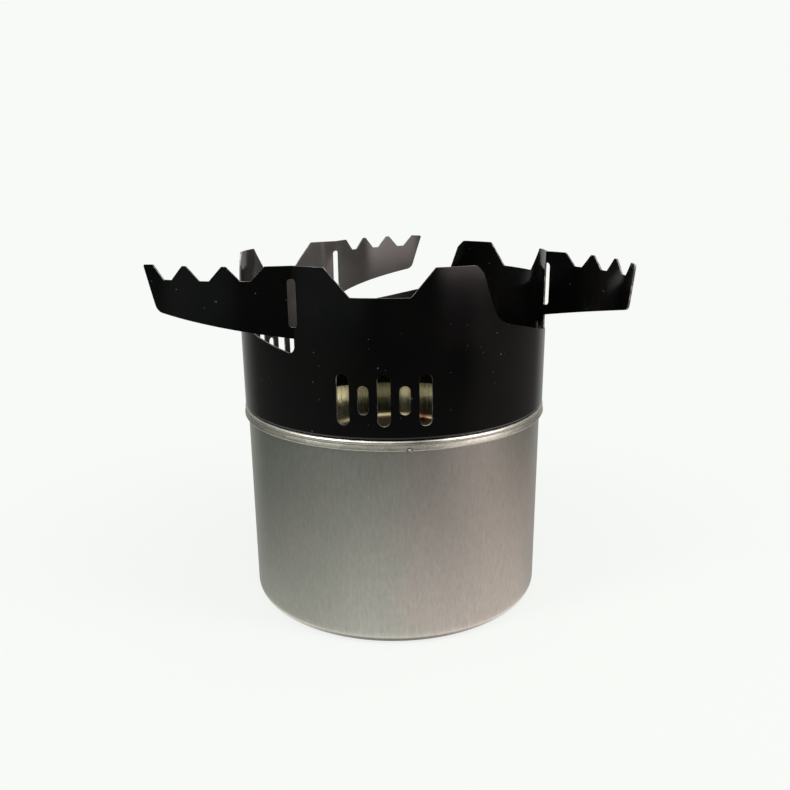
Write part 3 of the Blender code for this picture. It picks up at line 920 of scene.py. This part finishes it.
# ---------------------------------------------------------------- studio

BACKDROP = (0.939, 0.956, 0.930)
# Light of the studio from straight below, -1, to straight above, 1
STUDIO_HEIGHTS = [
    (-1.00, (0.30, 0.28, 0.27)),
    (-0.88, (0.60, 0.57, 0.54)),
    (-0.70, (1.34, 1.26, 1.18)),
    (-0.55, (1.14, 1.08, 1.01)),
    (-0.45, (0.36, 0.36, 0.34)),
    (-0.34, (0.078, 0.083, 0.08)),
    (-0.20, (0.030, 0.034, 0.034)),
    (0.00, (0.030, 0.034, 0.034)),
    (0.06, (0.29, 0.28, 0.25)),
    (0.26, (0.29, 0.28, 0.25)),
    (0.45, (0.30, 0.31, 0.30)),
    (1.00, (0.80, 0.80, 0.78)),
]
# Soft patches in it: azimuth; degrees to either side where a patch is full and where it is gone;
# heights between which it comes in, and goes out; strength of its cover; colour
PATCHES = [
    (90.0, (18.0, 64.0), (-1.2, -1.1), (1.1, 1.2), 1.0, (0.46, 0.46, 0.44)),
    (-30.0, (17.0, 32.0), (-0.113, -0.088), (-0.06, -0.01), 1.0, (5.0, 4.25, 4.15)),
    (8.0, (25.0, 50.0), (-0.32, -0.26), (-0.18, -0.14), 1.0, (0.18, 0.165, 0.155)),
    (-135.0, (15.0, 35.0), (-0.20, -0.15), (-0.10, -0.02), 1.0, (0.15, 0.17, 0.16)),
    (8.0, (10.0, 62.0), (-0.75, -0.55), (-0.42, -0.26), 0.55, (0.95, 0.84, 0.76)),
    (180.0, (20.0, 75.0), (-0.75, -0.60), (-0.20, -0.10), 0.40, (0.23, 0.245, 0.215)),
]
# Lamps, in metres and watts: name, place, size, power, colour
LAMPS = [
    ("overhead", (0.05, -0.05, 0.75), (0.7, 0.7), 2.5, (1.0, 0.99, 0.97)),
    ("left_strip", (-0.42, -0.28, 0.50), (0.16, 0.50), 3.0, (0.97, 1.0, 0.98)),
    ("right_strip", (0.45, -0.20, 0.42), (0.16, 0.50), 3.0, (1.0, 0.96, 0.93)),
]
LAMP_TARGET = (0.0, 0.0, 0.05)
FLOOR_R = 4.0
FLOOR_FADE = (0.06, 0.22)            # distances between which the paper turns into the backdrop
CAMERA_LENS = 36.453
CAMERA_SENSOR = 36.0
CAMERA_SHIFT = (-0.0081, 0.0248)
CAMERA_PLACE = (0.00235, -0.25581, 0.13371)
CAMERA_DOWN_DEG = 16.645
CAMERA_ROLL_DEG = -0.42


def light_by_height(nodes, height):
    ramp = nodes.new("ShaderNodeValToRGB")
    nodes.link(nodes.remap(height, -1.0, 1.0), ramp.inputs["Fac"])
    elements = ramp.color_ramp.elements
    stops = [((place + 1.0) / 2.0, colour) for place, colour in STUDIO_HEIGHTS]
    elements[0].position = stops[0][0]
    elements[1].position = stops[-1][0]
    for place, _ in stops[1:-1]:
        elements.new(place)
    for element, (_, colour) in zip(elements, stops):
        element.color = (*colour, 1.0)
    return ramp.outputs["Color"]


def build_world():
    world = bpy.data.worlds.new("studio")
    world.use_nodes = True
    bpy.context.scene.world = world
    nodes = Nodes(world.node_tree)
    nodes.tree.nodes.clear()
    split = nodes.new("ShaderNodeSeparateXYZ")
    nodes.link(nodes.new("ShaderNodeTexCoord").outputs["Generated"], split.inputs["Vector"])
    x, y, z = (split.outputs[name] for name in "XYZ")

    light = light_by_height(nodes, z)
    for azimuth_deg, (full, gone), rise, fall, strength, colour in PATCHES:
        turn = math.radians(azimuth_deg)
        toward = nodes.math("ADD", nodes.math("MULTIPLY", x, math.cos(turn)),
                            nodes.math("MULTIPLY", y, math.sin(turn)))
        across = nodes.remap(toward, math.cos(math.radians(gone)), math.cos(math.radians(full)),
                             curve="SMOOTHSTEP")
        upright = nodes.math("SUBTRACT", nodes.remap(z, *rise, curve="SMOOTHSTEP"),
                             nodes.remap(z, *fall, curve="SMOOTHSTEP"))
        cover = nodes.math("MULTIPLY", nodes.math("MULTIPLY", across, upright), strength)
        light = nodes.mix(cover, light, colour)

    seen = nodes.new("ShaderNodeBackground")
    seen.inputs["Color"].default_value = (*BACKDROP, 1.0)
    lit = nodes.new("ShaderNodeBackground")
    nodes.link(light, lit.inputs["Color"])
    choose = nodes.new("ShaderNodeMixShader")
    nodes.link(nodes.new("ShaderNodeLightPath").outputs["Is Camera Ray"], choose.inputs["Fac"])
    nodes.link(lit.outputs["Background"], choose.inputs[1])
    nodes.link(seen.outputs["Background"], choose.inputs[2])
    nodes.link(choose.outputs["Shader"], nodes.new("ShaderNodeOutputWorld").inputs["Surface"])


def floor_paper():
    """Pale paper under the object that brightens into the backdrop further out."""
    material = bpy.data.materials.new("floor_paper")
    material.use_nodes = True
    nodes = Nodes(material.node_tree)
    nodes.tree.nodes.clear()
    distance = nodes.new("ShaderNodeVectorMath", operation="LENGTH")
    nodes.link(nodes.new("ShaderNodeTexCoord").outputs["Object"], distance.inputs[0])
    paper = nodes.new("ShaderNodeBsdfDiffuse")
    paper.inputs["Color"].default_value = (0.55, 0.56, 0.55, 1.0)
    glow = nodes.new("ShaderNodeEmission")
    glow.inputs["Color"].default_value = (*BACKDROP, 1.0)
    blend = nodes.new("ShaderNodeMixShader")
    far = nodes.remap(distance.outputs["Value"], *FLOOR_FADE, to_low=0.86, curve="SMOOTHSTEP")
    nodes.link(far, blend.inputs["Fac"])
    nodes.link(paper.outputs["BSDF"], blend.inputs[1])
    nodes.link(glow.outputs["Emission"], blend.inputs[2])
    nodes.link(blend.outputs["Shader"], nodes.new("ShaderNodeOutputMaterial").inputs["Surface"])
    return material


def build_floor():
    mesh = bpy.data.meshes.new("floor")
    shape = bmesh.new()
    bmesh.ops.create_circle(shape, cap_ends=True, segments=96, radius=FLOOR_R)
    shape.to_mesh(mesh)
    shape.free()
    floor = add_object("floor", mesh, [floor_paper()])
    floor.visible_glossy = False


def add_lamp(name, place, size, power, colour):
    """Rectangular lamp that points at the object and stays out of the picture."""
    lamp = bpy.data.lights.new(name, "AREA")
    lamp.shape = "RECTANGLE"
    lamp.size, lamp.size_y = size
    lamp.energy = power
    lamp.color = colour
    item = bpy.data.objects.new(name, lamp)
    bpy.context.scene.collection.objects.link(item)
    item.location = place
    item.rotation_euler = (Vector(LAMP_TARGET) - Vector(place)).to_track_quat("-Z", "Y").to_euler()
    item.visible_camera = False


def build_camera():
    """Camera a little above the pot plane, looking down at the tin."""
    data = bpy.data.cameras.new("camera")
    data.sensor_width = CAMERA_SENSOR
    data.lens = CAMERA_LENS
    data.shift_x, data.shift_y = CAMERA_SHIFT
    data.clip_start = 0.005
    camera = bpy.data.objects.new("camera", data)
    bpy.context.scene.collection.objects.link(camera)
    camera.location = CAMERA_PLACE
    camera.rotation_euler = (math.radians(90.0 - CAMERA_DOWN_DEG), 0.0, 0.0)
    camera.rotation_euler.rotate_axis("Z", math.radians(CAMERA_ROLL_DEG))
    bpy.context.scene.camera = camera


def main():
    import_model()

    edge = cut_edge()
    brass = [aged_brass()]
    pieces = [(build_tin([tin_outside(), tin_inside()]), "tin", "tin_body", "tin_steel"),
              (build_crown_wall([black_sheet("black_sheet"), edge]), "crown", "crown_wall", "black_sheet")]
    for third, side in enumerate(("left", "right", "back")):
        bend_deg = FIRST_BEND_DEG + 120.0 * third
        black = black_sheet("black_sheet_" + side, arm_axis(side, bend_deg))
        arm = build_arm(side, bend_deg, [black, edge])
        pieces.append((arm, "arm_" + side, "support_arm_" + side, "black_sheet"))
    cup = lathe("burner_cup_turned", cup_profile(), BURNER_STEPS, brass)
    pieces += [(cup, "burner", "burner_cup", "brass"),
               (build_inner_wall(brass), "burner", "burner_inner_wall", "brass"),
               (build_wick([wick_fibre()]), "burner", "burner_wick", "wick_fibre")]
    for piece, body, node, slot in pieces:
        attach(piece, body)
        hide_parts(node)

    build_world()
    build_floor()
    for lamp in LAMPS:
        add_lamp(*lamp)
    build_camera()
    bpy.context.scene.view_settings.view_transform = "Standard"


main()
